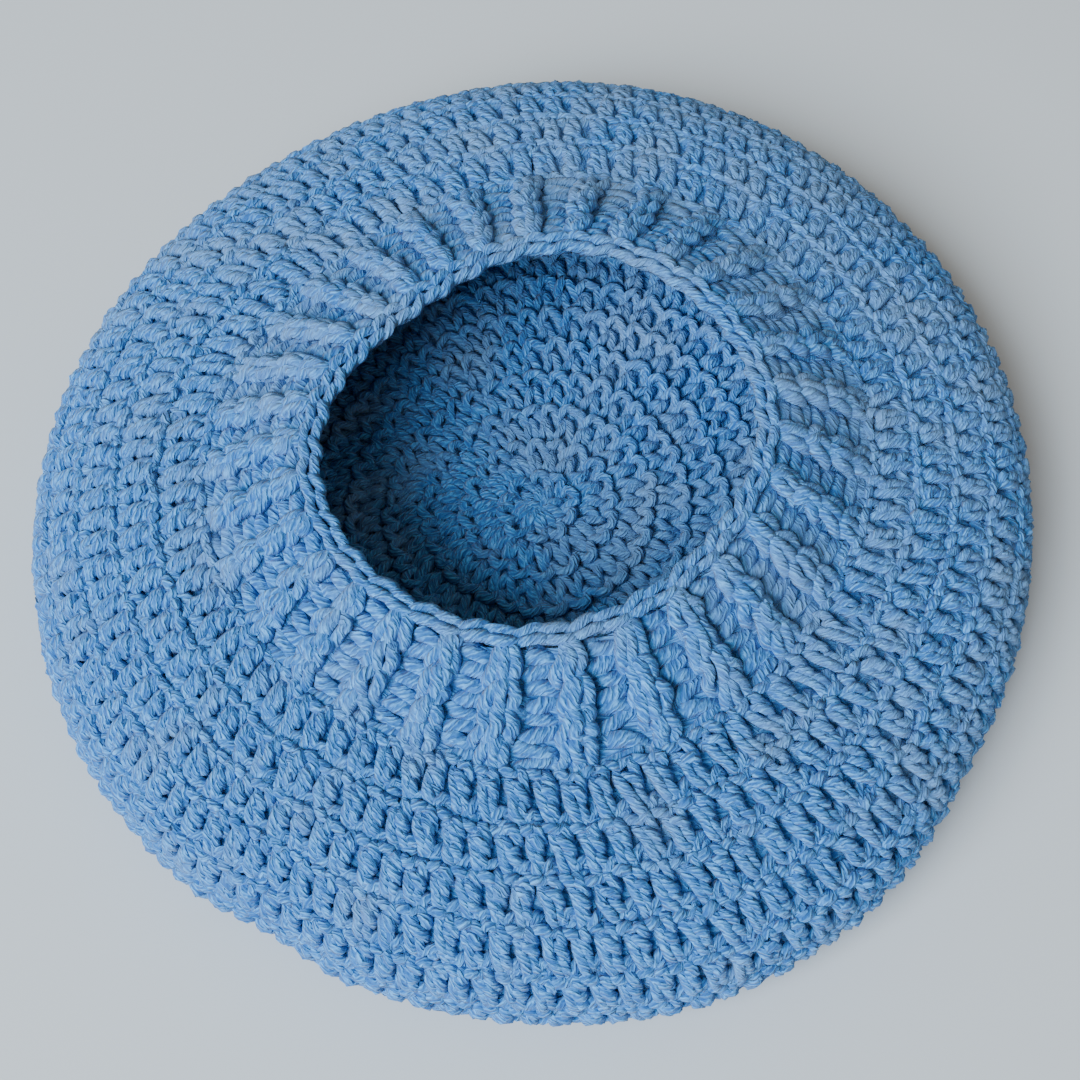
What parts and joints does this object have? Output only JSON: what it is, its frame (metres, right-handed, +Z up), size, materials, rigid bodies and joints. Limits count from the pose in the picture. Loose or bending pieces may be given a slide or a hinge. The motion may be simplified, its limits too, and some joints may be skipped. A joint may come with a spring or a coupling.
{
  "type": "tam o shanter",
  "caption": "Crocheted tam o' shanter with a flat round crown, folded rim and ribbed band, lying on its crown with the opening up.",
  "frame": {"origin": "on the floor, under the middle of the hat's outline, where its crown lies flat", "axes": "+Z up, out of the opening; -Y to the side that is nearest in the picture; +X to its right"},
  "size_m": [0.2626, 0.279, 0.0537],
  "materials": {
    "crown_yarn": "light blue crocheted yarn, matt with a soft fuzz",
    "band_yarn": "light blue crocheted yarn in raised ribs, matt with a soft fuzz",
    "edge_yarn": "light blue yarn in a chain of loops, matt with a soft fuzz"
  },
  "bodies": {
    "root": {"crown": "crown_yarn", "ribbed_band": "band_yarn", "edge_chain": "edge_yarn"}
  },
  "joints": []
}
